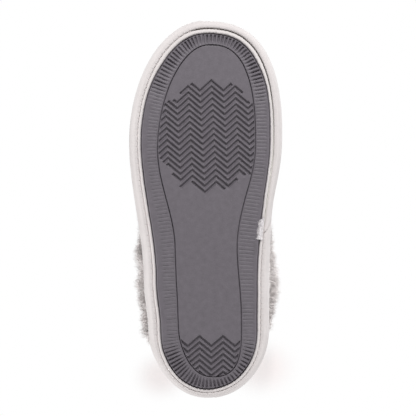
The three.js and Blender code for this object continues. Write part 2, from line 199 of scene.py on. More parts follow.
def ripples(x, y, seed, waves=14, finest=1.0, coarsest=0.2):
    """Smooth random relief from about -1 to 1: a sum of sine waves of random direction, the long
    ones stronger than the short ones."""
    rng = np.random.default_rng(seed)
    total = np.zeros(np.broadcast(x, y).shape)
    weight = 0
    for _ in range(waves):
        k = coarsest * (finest / coarsest) ** rng.random()
        turn, phase = rng.random(2) * TURN
        strength = (coarsest / k) ** 0.7
        total += strength * np.sin(k * (x * np.cos(turn) + y * np.sin(turn)) + phase)
        weight += strength * strength
    return total / np.sqrt(2 * weight)


def bump_at(x, centre, width):
    """A bell of height 1 at centre."""
    return np.exp(-(((x - centre) / width) ** 2))


# ---------- The sole's outline, from the frame ----------


def node_points(name):
    """A node's vertices in millimetres, each once."""
    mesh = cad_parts[name].data
    co = np.empty(len(mesh.vertices) * 3)
    mesh.vertices.foreach_get("co", co)
    return np.unique(np.round(co.reshape(-1, 3) / MM, 4), axis=0)


class Outline:
    """The tread's edge as a smooth closed curve. Its share runs from 0 at the toe, round by the
    inner side, to 1.

    The cover's rim gives points at equal shares. A Fourier sum through them gives any point
    between, and the tread's edge lies a fixed reach inside it."""

    def __init__(self):
        rim = node_points("bottom_cover")
        rim = rim[rim[:, 2] > rim[:, 2].max() - 1e-3][:, :2]
        turn = np.arctan2(rim[:, 0], -rim[:, 1])
        rim = rim[np.argsort(turn % TURN)]
        rim = np.roll(rim, -int(rim[:, 1].argmin()), axis=0)
        terms = np.fft.fft(rim[:, 0] + 1j * rim[:, 1]) / len(rim)
        order = np.fft.fftfreq(len(rim), 1 / len(rim))
        self.steps = np.linspace(0, 1, 4097)
        wave = np.exp(1j * TURN * np.multiply.outer(self.steps, order))
        self.curve = wave @ terms
        slope = wave @ (terms * order * 1j)
        self.outwards = -1j * slope / np.abs(slope)
        self.length = np.abs(np.diff(self.curve)).sum()

    def look_up(self, share, table):
        value = np.interp(share % 1, self.steps, table)
        return np.stack([value.real, value.imag], -1)

    def normal(self, share):
        """The way out, level, at a share."""
        return self.look_up(share, self.outwards)

    def y(self, share):
        """How far along the sole the tread's edge lies at a share."""
        return self.point(share, 0, 0)[..., 1]

    def point(self, share, reach, z):
        """The point beside the tread's edge: out by reach, at height z."""
        share, reach, z = np.broadcast_arrays(share, reach, z)
        p = self.look_up(share, self.curve) + (reach - COVER_REACH)[..., None] * self.normal(share)
        return np.concatenate([p, z[..., None]], -1)


OUTLINE = Outline()


def field_widths():
    """How far the plain field's edge lies inside the tread's edge, by share.

    Each corner of the frame's groove at one level is put down to its nearest share. Of two corners
    side by side across the groove, only the one further in belongs to the field and counts."""
    groove_level, groove_span, wide = 1.2, 1.3, 0.5
    ring = node_points("outsole")
    ring = ring[np.abs(ring[:, 2] - groove_level) < 1e-3]
    shares = np.linspace(0, 1, 3000, endpoint=False)
    edge = OUTLINE.point(shares, 0, 0)[:, :2]
    gap = np.linalg.norm(ring[:, None, :2] - edge[None], axis=-1)
    near, width = shares[gap.argmin(1)], gap.min(1)
    apart = np.linalg.norm(ring[:, None, :2] - ring[None, :, :2], axis=-1)
    inner = ((apart < groove_span) & (width[None, :] < width[:, None] - wide)).any(1)
    order = np.argsort(near[inner])
    s, w = near[inner][order], width[inner][order]
    steps = np.linspace(0, 1, 256, endpoint=False)
    table = np.interp(steps, s, w, period=1)
    terms = np.fft.fft(table)
    terms[24:-24] = 0
    return steps, np.fft.ifft(terms).real


FIELD_STEPS, FIELD_TABLE = field_widths()

# The hollow is put in after the field is measured, so the field's edge follows it.
OUTLINE.curve -= (
    OUTLINE.outwards
    * HOLLOW_DEPTH
    * bump_at(OUTLINE.curve.imag, HOLLOW_Y, HOLLOW_LENGTH)
    * (OUTLINE.steps < 0.5)
)


def field_width(share):
    return np.interp(share % 1, FIELD_STEPS, FIELD_TABLE, period=1)


def share_at(y):
    """The share of the outline at a place along the inner side."""
    shares = np.linspace(0.1, 0.45, 800)
    return np.interp(y, OUTLINE.y(shares), shares)


def sides_of(rim, y):
    """The left and the right x at each y of a closed rim that starts at the toe."""
    turn = int(rim[:, 1].argmax())
    right = np.interp(y, rim[:turn, 1], rim[:turn, 0])
    left = np.interp(y, rim[: turn - 1 : -1, 1], rim[: turn - 1 : -1, 0])
    return left[:, None], right[:, None]


# ---------- Meshes ----------


def grid_faces(rows, columns, wrap_rows=False, wrap_columns=False, first=0):
    """The four-cornered faces of a grid of points, row after row."""
    j, i = np.meshgrid(
        np.arange(rows if wrap_rows else rows - 1),
        np.arange(columns if wrap_columns else columns - 1),
        indexing="ij",
    )
    up, right = (j + 1) % rows, (i + 1) % columns
    corners = [j * columns + i, j * columns + right, up * columns + right, up * columns + i]
    return first + np.stack(corners, -1).reshape(-1, 4)


def make_piece(name, points, faces, material, uv=None, smooth_shade=True, flip=False):
    """A mesh object in the row frame from points in millimetres and equal-sided faces."""
    points = np.asarray(points, float).reshape(-1, 3)
    faces = np.asarray(faces)
    if flip:
        faces = faces[:, ::-1]
    mesh = bpy.data.meshes.new(name)
    size = faces.shape[1]
    mesh.vertices.add(len(points))
    mesh.vertices.foreach_set("co", (points * MM).ravel())
    mesh.loops.add(faces.size)
    mesh.loops.foreach_set("vertex_index", faces.ravel().astype(np.int32))
    mesh.polygons.add(len(faces))
    mesh.polygons.foreach_set("loop_start", np.arange(0, faces.size, size, dtype=np.int32))
    mesh.polygons.foreach_set("use_smooth", np.full(len(faces), smooth_shade))
    if uv is not None:
        layer = mesh.uv_layers.new(name="UVMap")
        layer.data.foreach_set("uv", np.asarray(uv, float).reshape(-1, 2)[faces.ravel()].ravel())
    mesh.update(calc_edges=True)
    mesh.validate()
    mesh.materials.append(material)
    piece = bpy.data.objects.new(name, mesh)
    bpy.context.scene.collection.objects.link(piece)
    return piece


def settle(piece, slot, *nodes):
    """The piece rides on the slipper's one body, in place of the nodes."""
    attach(piece, "root")
    if nodes:
        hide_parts(*nodes)
    return piece


def shell(front, back):
    """A closed sheet between two equal grids of points, its rim closed by four strips."""
    rows, columns = front.shape[:2]
    points = np.concatenate([front.reshape(-1, 3), back.reshape(-1, 3)])
    under = rows * columns
    faces = [grid_faces(rows, columns), grid_faces(rows, columns, first=under)[:, ::-1]]
    ids = np.arange(under).reshape(rows, columns)
    rim = np.concatenate([ids[0, :-1], ids[:-1, -1], ids[-1, :0:-1], ids[:0:-1, 0]])
    after = np.roll(rim, -1)
    faces.append(np.stack([after, rim, rim + under, after + under], -1))
    return points, np.concatenate(faces)


def capsules(starts, ends, lift, radius, sides=6, rings=7):
    """Short bent threads: each runs from start to end along a parabola that rises by lift, round in
    section and rounded at its ends."""
    t = np.linspace(0, 1, rings)
    arch = 4 * t * (1 - t)
    path = starts[:, None] + (ends - starts)[:, None] * t[:, None] + lift[:, None] * arch[:, None]
    along = unit(np.gradient(path, axis=1))
    up = unit(lift)[:, None]
    across = unit(np.cross(along, up))
    up = np.cross(across, along)
    girth = radius * np.sqrt(np.clip(1 - (2 * t - 1) ** 8, 0.02, 1))
    turn = np.arange(sides) * TURN / sides
    ringed = across[:, :, None] * np.cos(turn)[:, None] + up[:, :, None] * np.sin(turn)[:, None]
    points = path[:, :, None] + ringed * girth[None, :, None, None]
    count = len(starts)
    one = grid_faces(rings, sides, wrap_columns=True)
    first = np.arange(count) * rings * sides
    faces = (one[None] + first[:, None, None]).reshape(-1, 4)
    lid = np.array([[0, 3, 2, 1], [0, 5, 4, 3]]) if sides == 6 else np.array([[0, 3, 2, 1]])
    last = (rings - 1) * sides
    lids = np.concatenate([lid, (last + lid)[:, ::-1]])
    faces = np.concatenate([faces, (lids[None] + first[:, None, None]).reshape(-1, 4)])
    return points.reshape(-1, 3), faces


# ---------- Materials ----------


def node_group(name, inputs, outputs):
    group = bpy.data.node_groups.new(name, "ShaderNodeTree")
    for label, kind, default in inputs:
        socket = group.interface.new_socket(name=label, in_out="INPUT", socket_type=kind)
        socket.default_value = default
    for label, kind in outputs:
        group.interface.new_socket(name=label, in_out="OUTPUT", socket_type=kind)
    return group, group.nodes.new("NodeGroupInput"), group.nodes.new("NodeGroupOutput")


def math_node(tree, operation, a, b=None):
    node = tree.nodes.new("ShaderNodeMath")
    node.operation = operation
    for socket, value in zip(node.inputs, (a, b)):
        if value is None:
            continue
        if isinstance(value, (int, float)):
            socket.default_value = value
        else:
            tree.links.new(value, socket)
    return node.outputs[0]


def spread(tree, value, low, high, to_low, to_high, steps="LINEAR"):
    """The value with the range from low to high spread over another."""
    node = tree.nodes.new("ShaderNodeMapRange")
    node.interpolation_type = steps
    tree.links.new(value, node.inputs["Value"])
    labels = ("From Min", "From Max", "To Min", "To Max")
    for label, number in zip(labels, (low, high, to_low, to_high)):
        node.inputs[label].default_value = number
    return node.outputs["Result"]


def scaled(tree, vector, factor):
    node = tree.nodes.new("ShaderNodeVectorMath")
    node.operation = "SCALE"
    tree.links.new(vector, node.inputs[0])
    tree.links.new(factor, node.inputs["Scale"])
    return node.outputs[0]


def tint_group():
    """Colour times a brightness that follows broad mottling and fine grain; also gives the grain's
    height."""
    group, ins, outs = node_group(
        "Mottle and grain",
        [
            ("Vector", "NodeSocketVector", (0, 0, 0)),
            ("Color", "NodeSocketColor", (0.8, 0.8, 0.8, 1)),
            ("Mottle scale", "NodeSocketFloat", 60.0),
            ("Mottle", "NodeSocketFloat", 0.1),
            ("Grain scale", "NodeSocketFloat", 2000.0),
            ("Grain", "NodeSocketFloat", 0.1),
        ],
        [("Color", "NodeSocketColor"), ("Height", "NodeSocketFloat")],
    )

    def noise(scale, detail):
        node = group.nodes.new("ShaderNodeTexNoise")
        node.inputs["Detail"].default_value = detail
        group.links.new(ins.outputs["Vector"], node.inputs["Vector"])
        group.links.new(ins.outputs[scale], node.inputs["Scale"])
        return node.outputs["Fac"]

    def swing(value, strength):
        centred = math_node(group, "SUBTRACT", value, 0.5)
        return math_node(group, "MULTIPLY", centred, ins.outputs[strength])

    broad, fine = noise("Mottle scale", 5), noise("Grain scale", 3)
    both = math_node(group, "ADD", swing(broad, "Mottle"), swing(fine, "Grain"))
    light = math_node(group, "ADD", both, 1.0)
    group.links.new(scaled(group, ins.outputs["Color"], light), outs.inputs["Color"])
    group.links.new(fine, outs.inputs["Height"])
    return group


def new_material(name):
    """A new material with its node tree and its shader."""
    material = bpy.data.materials.new(name)
    material.use_nodes = True
    return material, material.node_tree, material.node_tree.nodes["Principled BSDF"]


def base_material(name, tint, mottle, grain, bump, **shader):
    """A finish with mottled colour and a grain that also roughens the surface, made the first time
    it is asked for. mottle and grain are a scale and a strength, bump a strength and a distance."""
    if name in bpy.data.materials:
        return bpy.data.materials[name]
    material, tree, bsdf = new_material(name)
    place = tree.nodes.new("ShaderNodeTexCoord").outputs["Object"]
    group = tree.nodes.new("ShaderNodeGroup")
    group.node_tree = bpy.data.node_groups.get("Mottle and grain") or tint_group()
    tree.links.new(place, group.inputs["Vector"])
    group.inputs["Color"].default_value = (*tint, 1)
    for label, (scale, strength) in (("Mottle", mottle), ("Grain", grain)):
        group.inputs[f"{label} scale"].default_value = scale
        group.inputs[label].default_value = strength
    tree.links.new(group.outputs["Color"], bsdf.inputs["Base Color"])
    relief = tree.nodes.new("ShaderNodeBump")
    for label, value in zip(("Strength", "Distance"), bump):
        relief.inputs[label].default_value = value
    tree.links.new(group.outputs["Height"], relief.inputs["Height"])
    tree.links.new(relief.outputs["Normal"], bsdf.inputs["Normal"])
    for label, value in shader.items():
        bsdf.inputs[label.replace("_", " ")].default_value = value
    return material


def colours():
    return bpy.context.scene.slipper_colours


def rubber_material():
    return base_material(
        "moulded rubber", colours().rubber, mottle=(240, 0.4), grain=(1100, 0.35),
        bump=(0.5, 0.0002), Roughness=0.55, Specular_IOR_Level=0.45,
    )


def suede_material():
    return base_material(
        "microsuede", colours().suede, mottle=(130, 0.12), grain=(2600, 0.16), bump=(0.35, 0.00025),
        Roughness=0.95, Specular_IOR_Level=0.15, Sheen_Weight=0.25, Sheen_Roughness=0.5,
    )


def plush_material():
    return base_material(
        "plush", colours().plush, mottle=(260, 0.16), grain=(900, 0.3), bump=(0.9, 0.0008),
        Roughness=1.0, Specular_IOR_Level=0.1, Sheen_Weight=0.35, Sheen_Roughness=0.6,
    )


def thread_material():
    return base_material(
        "sewing thread", colours().thread, mottle=(300, 0.15), grain=(4000, 0.25),
        bump=(0.5, 0.0001), Roughness=0.75, Specular_IOR_Level=0.3,
    )


def frayed_material():
    return base_material(
        "frayed cotton", colours().frayed, mottle=(500, 0.2), grain=(1500, 0.3), bump=(0.9, 0.0005),
        Roughness=1.0, Specular_IOR_Level=0.1,
    )


def fur_material():
    """Each strand's map runs from its root at v = 0 to its tip at v = 1, and u is its own shade."""
    name = "faux fur"
    if name in bpy.data.materials:
        return bpy.data.materials[name]
    material, tree, bsdf = new_material(name)
    uv = tree.nodes.new("ShaderNodeUVMap")
    uv.uv_map = "UVMap"
    parts = tree.nodes.new("ShaderNodeSeparateXYZ")
    tree.links.new(uv.outputs["UV"], parts.inputs[0])
    length = tree.nodes.new("ShaderNodeValToRGB")
    base = np.array(colours().fur)
    stops = ((0.0, 0.95), (0.35, 0.99), (0.75, 1.0), (1.0, 1.03))
    ramp = length.color_ramp
    ramp.elements[0].position, ramp.elements[1].position = stops[0][0], stops[-1][0]
    for position, _ in stops[1:-1]:
        ramp.elements.new(position)
    for element, (_, light) in zip(ramp.elements, stops):
        element.color = (*np.clip(base * light, 0, 1), 1)
    tree.links.new(parts.outputs["Y"], length.inputs["Fac"])
    shade = spread(tree, parts.outputs["X"], 0, 1, 0.88, 1.1)
    tree.links.new(scaled(tree, length.outputs["Color"], shade), bsdf.inputs["Base Color"])
    for label, value in (("Roughness", 0.75), ("Specular IOR Level", 0.25), ("Sheen Weight", 0.2)):
        bsdf.inputs[label].default_value = value
    return material


# ---------- Tread ----------


def rib_phase(share):
    """Counts the ribs passed up to a share: they are wider apart at the toe and the heel than along
    the sides."""
    s = bpy.context.scene.slipper_tread
    count = 4000
    steps = np.linspace(0, 1, count + 1)
    pitch = s.side_pitch + (s.rib_pitch - s.side_pitch) * end_weight(steps)
    ribs = np.cumsum(OUTLINE.length / count / ((pitch[1:] + pitch[:-1]) / 2))
    table = np.concatenate([[0], ribs])
    table *= np.round(table[-1]) / table[-1]
    return np.interp(share, steps, table), int(table[-1] + 0.5)


def end_weight(share):
    """1 round the toe and the heel, 0 along the sides."""
    y = OUTLINE.y(share)
    return np.maximum(smooth(-72, -104, y), smooth(88, 108, y))


def toe_inset(share):
    """How far the tread's edge stops short round the toe, where more of the bottom's turned edge
    shows."""
    return TOE_INSET * (1 - smooth(-112, -82, OUTLINE.y(share)))


def build_tread_border():
    """The ribbed border is a ring. Its section runs from the groove's floor, over the ribs and the
    lip, up the outer wall, out along a flange under the crease and back inside. Between two ribs
    lies a narrow valley, the root of a cosine along the edge. At the toe and the heel the valleys
    are deep and widen towards the outer edge, which they notch. Along the sides they are shallow,
    and a plain strip runs outside them, wider on the outer side of the foot. Round the toe the
    edge stops short."""
    s = bpy.context.scene.slipper_tread
    per_rib = 8
    _, ribs = rib_phase(np.array([1.0]))
    grid = np.linspace(0, 1, 6001)
    phase_grid, _ = rib_phase(grid)
    phase = np.arange(ribs * per_rib) / per_rib
    share = np.interp(phase, phase_grid, grid)
    ends = end_weight(share)
    width = field_width(share)
    near = np.abs(np.cos(np.pi * phase))
    rib_scale = 1 + 0.25 * ripples(share * SOLE_ROUND, 0, 12, finest=1.5, coarsest=0.3)
    notch = (1 - near**0.5) * ends
    inset = toe_inset(share)
    edge = 0.12 * ripples(share * SOLE_ROUND, 0, 11) - 0.35 * notch - inset
    plain = np.where(share < 0.5, 0.88, 0.7)
    rows = []

    def row(reach, z):
        rows.append(OUTLINE.point(share, reach, np.broadcast_to(z, share.shape)))

    # The groove's floor and the side of the border towards it.
    inner = s.groove - width
    row(-width - 2.5, 4.1)
    row(-width - 2.5, 1.7)
    row(inner - 0.05, 1.7)
    row(inner + 0.02, 0.45)
    row(inner + 0.25, 0.12)
    # The ribs, from the groove to the lip.
    lip = 0.8
    start = inner + 0.5
    band = -lip - inset - start
    for t in np.linspace(0.0, 1.0, 18):
        sharp = 0.36 + (0.16 + 0.8 * t) * ends
        bar = near**sharp
        side_fade = smooth(0.0, 0.05, t) * (1 - smooth(plain - 0.06, plain, t))
        end_fade = smooth(0.02, 0.5, t) * 0.75 + 0.25 * smooth(0.0, 0.08, t)
        depth = rib_scale * (s.rib_depth * ends * end_fade + s.side_depth * (1 - ends) * side_fade)
        crown = 0.1 + 0.75 * t**1.6
        row(start + t * band, crown + depth * (1 - bar))
    # The lip and the outer wall.
    row(-lip + 0.4 + edge, 1.0 + 0.9 * notch)
    row(-0.15 + edge, 1.35 + 0.8 * notch)
    row(-0.02 + edge, 2.0 + 0.4 * notch)
    row(edge, 3.5)
    # The flange that closes the crease beside the bottom's turned edge.
    row(0.95, 3.6)
    row(0.9, 4.3)
    row(-0.1 + 0.5 * edge, 4.3)
    points = np.stack(rows)
    faces = grid_faces(len(rows), len(share), wrap_rows=True, wrap_columns=True)
    piece = make_piece("tread_border", points, faces, rubber_material())
    return settle(piece, "tread_rubber", "outsole")


def zigzag(x, centre, wave, rise):
    """A triangle wave across the sole whose peaks point at the toe."""
    part = (x - centre) / wave
    return (np.abs(part - np.round(part)) * 2 - 0.5) * rise


def channel_relief(x, y, zone, width, wave, depth):
    """Depth of the zigzag channels at each point. Across a channel the depth is a trough with a
    flat floor, a steep side towards the toe and a sloping side towards the heel. Each row is as
    long as the oval is wide at the row's middle, and its ends are cut square to the limbs."""
    skewed = x - zone["skew"] * (y - zone["y"])
    rise = zone["rise"]
    v = (y - zone["first"] - zigzag(skewed, zone["peak"], wave, rise)) / zone["pitch"]
    row = np.clip(np.round(v), 0, zone["rows"] - 1)
    slope = 2 * rise / wave
    lean = np.sqrt(1 + slope * slope)
    off = (v - row) * zone["pitch"] / lean
    toe_wall = 1 - np.clip((-off - width / 2 + 0.1) / 0.25, 0, 1)
    heel_wall = 1 - np.clip((off - width / 2 + 0.55) / 0.95, 0, 1)
    trough = np.minimum(toe_wall, heel_wall)
    middle = zone["first"] + row * zone["pitch"]
    part = (skewed - zone["peak"]) / wave
    limb = np.sign(part - np.round(part))
    along = skewed + limb * slope * off / lean
    round_off = 1 - ((middle - zone["y"]) / zone["half_y"]) ** 2
    half = zone["half_x"] * np.sqrt(np.clip(round_off, 0.01, 1))
    from_middle = np.abs(along - zone["x"] + zone["lean"] * (middle - zone["y"]))
    inside = 1 - smooth(half - 0.1, half + 0.15, from_middle)
    return depth * trough * inside


def build_tread_field():
    """The plain field is a slab on a grid: rows across the sole, columns from its one edge to the
    other. Its lower face rises by the zigzag channels' depth, and its edge is rolled a little. The
    rows lie close together under the two patches of channels and further apart elsewhere."""
    s = bpy.context.scene.slipper_tread
    shares = np.linspace(0, 1, 4001)
    rim = OUTLINE.point(shares, -field_width(shares) - 0.02, 0)
    low, high = rim[:, 1].min() + 0.02, rim[:, 1].max() - 0.02
    ball = {
        "x": 2.6, "y": -52.9, "half_x": 38.0, "half_y": 38.5, "lean": 0.08, "skew": 0.05,
        "first": -88.45, "rows": 18, "pitch": s.front_pitch, "rise": 7.3, "peak": 5.5,
    }
    heel = {
        "x": 0.0, "y": 110.0, "half_x": 90, "half_y": 90, "lean": 0.0, "skew": 0.0,
        "first": 93.8, "rows": 8, "pitch": s.heel_pitch, "rise": 7.0, "peak": -4.85,
    }
    toe_end, ball_start, ball_end, heel_start = -112, -95.5, -11.0, 86.0
    fine, plain = 0.4, 2.5
    y = [
        low + (np.arange(7) / 7) ** 2 * (toe_end - low),
        np.arange(toe_end, ball_start, 2.0),
        np.arange(ball_start, ball_end, fine),
        np.arange(ball_end, heel_start, plain),
        np.arange(heel_start, high - 0.6, fine),
        [high - 0.6, high - 0.25, high - 0.06, high],
    ]
    y = np.unique(np.round(np.concatenate(y), 4))
    left, right = sides_of(rim, y)
    across = np.linspace(0, 1, 200)
    across = 0.9 * across + 0.1 * (0.5 - 0.5 * np.cos(np.pi * across))
    x = left + (right - left) * across
    yy = np.broadcast_to(y[:, None], x.shape)
    z = np.zeros_like(x)
    for zone in (ball, heel):
        z += channel_relief(x, yy, zone, s.channel_width, s.channel_wave, s.channel_depth)
    margin = np.minimum(x - left, right - x)
    margin = np.minimum(margin, np.minimum(yy - low, high - yy) + 0.3)
    z *= smooth(0.3, 0.7, margin)
    z += 0.3 * (1 - smooth(0.0, 0.4, margin))
    z += 0.05 * (1 + ripples(x, yy, 5, finest=0.9, coarsest=0.06))
    lower = np.stack([x, yy, z], -1)
    upper = np.stack([x, yy, np.full_like(x, 3.9)], -1)
    points, faces = shell(lower, upper)
    piece = make_piece("tread_field", points, faces, rubber_material(), flip=True)
    return settle(piece, "tread_rubber", "outsole")


# ---------- Bottom cover, band and their stitches ----------


def side_of(share):
    """1 on the inner side of the sole and round the toe, 0 on the outer side and at the heel: where
    the seam gapes."""
    inner = np.where(share < 0.5, 1.0, 0.0)
    toe = smooth(0.975, 0.995, share)
    return np.maximum(inner * (1 - smooth(8, 14, OUTLINE.y(share))), toe)


def stitch_count():
    """How many stitches go round the sole."""
    return int(np.round(OUTLINE.length / bpy.context.scene.slipper_band.stitch_pitch))


def build_cover():
    """The bottom's turned edge: a soft roll that comes down beside the tread, with a dark crease
    between them. Each stitch pulls it in at its outer edge. Where the seam gapes the roll is
    narrower, and round the toe it follows the tread's edge inwards."""
    share = np.arange(SOLE_COLUMNS) / SOLE_COLUMNS
    gape = side_of(share)
    inset = toe_inset(share)
    pull = np.abs(np.sin(np.pi * share * stitch_count())) ** 14
    wobble = ripples(share * SOLE_ROUND, 0, 21, finest=0.9)
    fray = ripples(share * SOLE_ROUND, 0, 22, waves=30, finest=6, coarsest=0.8)
    section = (
        (-2.0, COVER_TOP), (-2.0, 4.6), (0.75, 4.5), (0.8, 3.5), (0.88, 2.8), (1.12, 2.25),
        (1.5, 2.0), (1.95, 2.1), (2.5, 2.5), (2.95, 3.3), (3.0, COVER_TOP),
    )
    rows = []
    for reach, z in section:
        swell = np.clip((reach - 0.2) / 2.8, 0, 1)
        low = np.clip((4.4 - z) / 1.8, 0, 1)
        ragged = (0.06 + 0.16 * gape * swell) * fray + 0.08 * wobble
        inwards = inset * (1 - np.clip((reach - 0.75) / 2.25, 0, 1))
        out = reach - 0.45 * gape * swell + ragged * low - inwards
        rise = 0.5 * pull * smooth(0.7, 1.0, swell) * (1 - gape)
        rise = rise + (0.12 * wobble + 0.15 * gape * fray) * low
        rows.append(OUTLINE.point(share, out, np.minimum(z + rise, COVER_TOP)))
    points = np.stack(rows)
    faces = grid_faces(len(rows), SOLE_COLUMNS, wrap_rows=True, wrap_columns=True)
    piece = make_piece("bottom_cover_roll", points, faces, suede_material())
    return settle(piece, "suede", "bottom_cover")


def bulge_at(share):
    """How far the band stands out: it is fullest at the ball and along the outer side, and thinnest
    at the joint."""
    full = bpy.context.scene.slipper_band.bulge
    y = OUTLINE.y(share)
    inner = share < 0.5
    heel = 1.3 * smooth(85, 118, y)
    thin = np.where(inner, 1.7 * bump_at(y, -4, 26) + heel, heel)
    return full + 0.85 * np.where(inner, 0, 1) * (1 - smooth(80, 118, y)) + 0.3 * inner - thin


def band_points(share, turn):
    """The band's outer face: turn runs from 0 at the seam under the sole to 1 at the seam with the
    upper. The section is a fat half oval, fuller below than above, that is pulled in at both
    seams. Long soft ripples and short puckers at the seams move it in and out, and a slanting
    crease marks the joint."""
    gape = side_of(share)
    start = COVER_REACH + 0.05 + 0.2 * gape
    top = UPPER_REACH + 0.55
    angle = np.pi * turn
    z_low, z_high = 3.2 + 0.7 * gape, bpy.context.scene.slipper_band.height
    z = z_low + (z_high - z_low) * (0.5 - 0.5 * np.cos(angle)) ** 0.92
    lean = start + (top - start) * turn
    body = np.sin(angle) ** 0.62 * (1 + 0.1 * np.cos(angle))
    reach = lean + (bulge_at(share) - (start + top) / 2) * body

    run, rise = share * OUTLINE.length, 30 * turn
    reach = reach + 0.25 * ripples(run, rise, 31, finest=0.35, coarsest=0.02) * body
    stitches = stitch_count()
    pucker = np.cos(TURN * share * stitches)
    pit = np.abs(np.sin(np.pi * share * stitches)) ** 24
    under = bump_at(turn, 0.12, 0.1)
    near_low, near_high = bump_at(turn, 0.0, 0.035), bump_at(turn, 0.95, 0.06)
    z = z - (0.5 + 0.3 * gape) * under
    z = z + 0.25 * ripples(run, rise, 33, finest=0.8, coarsest=0.1) * under
    z = z + 0.55 * pit * near_low * (1 - 0.6 * gape)
    reach = reach + 0.1 * pucker * near_high

    past = (share - (share_at(JOINT_Y) - 0.045 * (turn - 0.1))) * OUTLINE.length
    crease = bump_at(past, 0, 0.7)
    overlap = smooth(-0.3, 0.3, past) * (1 - smooth(3, 16, past))
    reach = reach - (0.35 * crease - 0.1 * overlap) * body * (1 - smooth(0.25, 0.5, turn))
    z = z + 1.2 * bump_at(past, 0, 0.45) * (1 - smooth(0.3, 0.45, turn)) - 0.35 * overlap * under
    return OUTLINE.point(share, reach, z)


def build_band():
    """A closed ring: the outer face and three rows of points that close it on its inner side."""
    share = np.arange(SOLE_COLUMNS) / SOLE_COLUMNS
    turn = np.linspace(0, 1, 36)
    outer = band_points(share[None, :], turn[:, None])
    wall = UPPER_REACH + 0.5
    inner = [
        OUTLINE.point(share, wall, BAND_TOP - 0.3),
        OUTLINE.point(share, wall, 8.4),
        OUTLINE.point(share, COVER_REACH + 0.25 + 0.5 * side_of(share), COVER_TOP),
    ]
    points = np.concatenate([outer, np.stack(inner)])
    faces = grid_faces(len(points), SOLE_COLUMNS, wrap_rows=True, wrap_columns=True)
    piece = make_piece("side_band", points, faces, suede_material())
    settle(piece, "suede", "sidewall_band")
    return piece


def stitch_row(name, share, place, up, length, node):
    """Stitches along a row: place gives the point at a share, up the way out of the cloth."""
    thick = bpy.context.scene.slipper_band.stitch_thick
    half = length / 2 / OUTLINE.length
    starts, ends = place(share - half), place(share + half)
    points, faces = capsules(starts, ends, up(share) * STITCH_RISE, thick / 2)
    return settle(make_piece(name, points, faces, thread_material()), "thread", node)


def build_sole_stitches():
    """Single stitches beside the turned edge, where the seam is drawn tight."""
    count = stitch_count()
    share = (np.arange(count) + 0.5) / count
    share = share[side_of(share) < 0.5]

    def place(s):
        return OUTLINE.point(s, COVER_REACH - 0.15, 3.75)

    def up(s):
        return np.broadcast_to([0.0, 0.0, -1.0], (len(s), 3))

    return stitch_row("bottom_stitches", share, place, up, 2.5, "bottom_seam_thread")


def build_top_stitches():
    """Stitches all the way round where the band meets the upper."""
    height = bpy.context.scene.slipper_band.height
    count = stitch_count()
    share = (np.arange(count) + 0.5) / count

    def place(s):
        return OUTLINE.point(s, UPPER_REACH + 0.9, height + 0.15)

    def up(s):
        return unit(np.concatenate([OUTLINE.normal(s), np.full((len(s), 1), 0.8)], -1))

    return stitch_row("top_stitches", share, place, up, 2.7, "top_seam_thread")


def build_band_end():
    """The frayed end: a crumpled scrap that laps on to the tread's edge and narrows towards its
    front end, with loose fibres that are densest at its ragged side."""
    rng = np.random.default_rng(7)
    rows, columns = 44, 18
    y = np.linspace(JOINT_Y - SCRAP_AHEAD, JOINT_Y + SCRAP_BEHIND, rows)
    share = share_at(y)
    along = np.linspace(-1, 1, rows)
    lap = -1.5 + 2.7 * smooth(-1.0, -0.5, along) + 0.35 * along
    lap = lap + 0.55 * ripples(y, 0, 8, finest=3.5, coarsest=1.0)
    across = np.linspace(0, 1, columns)
    reach = -lap[:, None] * (1 - across) + (2.7 - 0.1 * along[:, None]) * across
    crumple = ripples(y[:, None], 7 * across, 3, waves=24, finest=3.6, coarsest=1.1)
    stations = [-3, -1.2, 0.2, 1.6, 3.3]
    z = np.interp(reach, stations, [-0.1, -0.15, 0.5, 1.9, 3.4]) + 0.95 * (crumple - 0.5)
    z = np.maximum(z, 0.45 + 0.4 * crumple)
    face = OUTLINE.point(np.broadcast_to(share[:, None], reach.shape), reach, z)
    points, faces = shell(face, face + np.array([0, 0, 0.8]))
    scrap = make_piece("band_end_scrap", points, faces, frayed_material(), flip=True)

    count = 500
    s = rng.uniform(share[1], share[-2], count)
    at = rng.uniform(0, 1, count) ** 1.4
    edge = -np.interp(s, share, lap)
    out = edge + (2.6 - edge) * at
    root = OUTLINE.point(s, out, np.interp(out, stations, [0.2, 0.3, 0.9, 2.2, 3.6]))
    way = rng.normal(size=(count, 3)) * [0.6, 0.9, 0.3] + [-0.5, 0, -0.3]
    tip = root + unit(way) * rng.uniform(0.3, 1.1, count)[:, None]
    tip[:, 2] = np.maximum(tip[:, 2], 0.1)
    lift = rng.normal(size=(count, 3)) * 0.2 + [0, 0, -0.15]
    points, faces = capsules(root, tip, lift, 0.08, sides=4, rings=4)
    points[..., 2] = np.maximum(points[..., 2], 0.01)
    fibres = make_piece("band_end_fibres", points, faces, frayed_material())
    for piece in (scrap, fibres):
        settle(piece, "plush", "band_end_tuck")


# ---------- Upper ----------


def edge_point(angle):
    """The opening's edge: an oval in plan whose height follows a cosine and its double."""
    u = bpy.context.scene.slipper_upper
    middle = (u.front + u.back) / 4 + u.side / 2
    lean, saddle = (u.front - u.back) / 2, (u.front + u.back) / 4 - u.side / 2
    x = u.edge_x + u.half_wide * np.sin(angle)
    y = u.edge_y - u.half_long * np.cos(angle)
    z = middle + lean * np.cos(angle) + saddle * np.cos(2 * angle)
    return np.stack([x, y, z], -1)


